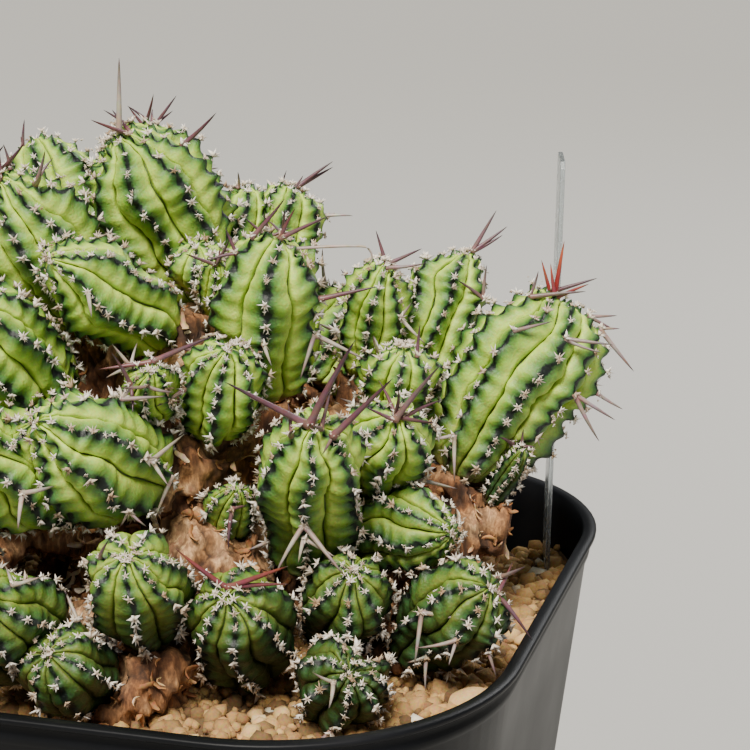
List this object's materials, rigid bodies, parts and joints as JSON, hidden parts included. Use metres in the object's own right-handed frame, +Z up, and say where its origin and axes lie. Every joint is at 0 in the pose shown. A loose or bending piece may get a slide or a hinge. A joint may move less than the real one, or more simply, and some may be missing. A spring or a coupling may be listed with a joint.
{
  "type": "potted euphorbia",
  "caption": "Clump of ribbed, spiny euphorbia heads on a woody trunk, growing in a square black plastic pot with a plant label.",
  "frame": {"origin": "middle of the pot's underside, on the surface that it stands on", "axes": "+Z up out of the pot, X and Y square to the pot's sides; the front of the plant faces -Y"},
  "size_m": [0.1525, 0.15, 0.223],
  "materials": {
    "pot_plastic": "black, slightly glossy",
    "soil_grains": "dry ochre clay grains",
    "bark": "rough, corky, peeling",
    "label_plastic": "clear, glossy",
    "green_flesh": "waxy green skin",
    "spine_horn": "smooth horny purple-brown"
  },
  "bodies": {
    "root": {"pot": "pot_plastic", "soil": "soil_grains", "trunk": "bark", "plant_label": "label_plastic", "head_01": "green_flesh", "head_02": "green_flesh", "head_03": "green_flesh", "head_04": "green_flesh", "head_05": "green_flesh", "head_06": "green_flesh", "head_07": "green_flesh", "head_08": "green_flesh", "head_09": "green_flesh", "head_10": "green_flesh", "head_11": "green_flesh", "head_12": "green_flesh", "head_13": "green_flesh", "head_14": "green_flesh", "head_15": "green_flesh", "head_16": "green_flesh", "head_17": "green_flesh", "head_18": "green_flesh", "head_19": "green_flesh", "head_20": "green_flesh", "head_21": "green_flesh", "head_22": "green_flesh", "head_23": "green_flesh", "head_24": "green_flesh", "head_25": "green_flesh", "head_26": "green_flesh", "head_27": "green_flesh", "head_28": "green_flesh", "head_29": "green_flesh", "head_30": "green_flesh", "head_31": "green_flesh", "head_32": "green_flesh", "head_33": "green_flesh", "head_34": "green_flesh", "head_35": "green_flesh", "head_36": "green_flesh", "head_37": "green_flesh", "head_38": "green_flesh", "head_39": "green_flesh", "head_40": "green_flesh", "head_41": "green_flesh", "head_42": "green_flesh", "head_43": "green_flesh", "head_44": "green_flesh", "head_45": "green_flesh", "head_46": "green_flesh", "head_47": "green_flesh", "head_48": "green_flesh", "head_49": "green_flesh", "head_50": "green_flesh", "head_51": "green_flesh", "spines_top": "spine_horn", "spines_front_upper": "spine_horn", "spines_front_lower": "spine_horn", "spines_low_left": "spine_horn", "spines_right_new": "spine_horn"}
  },
  "joints": []
}
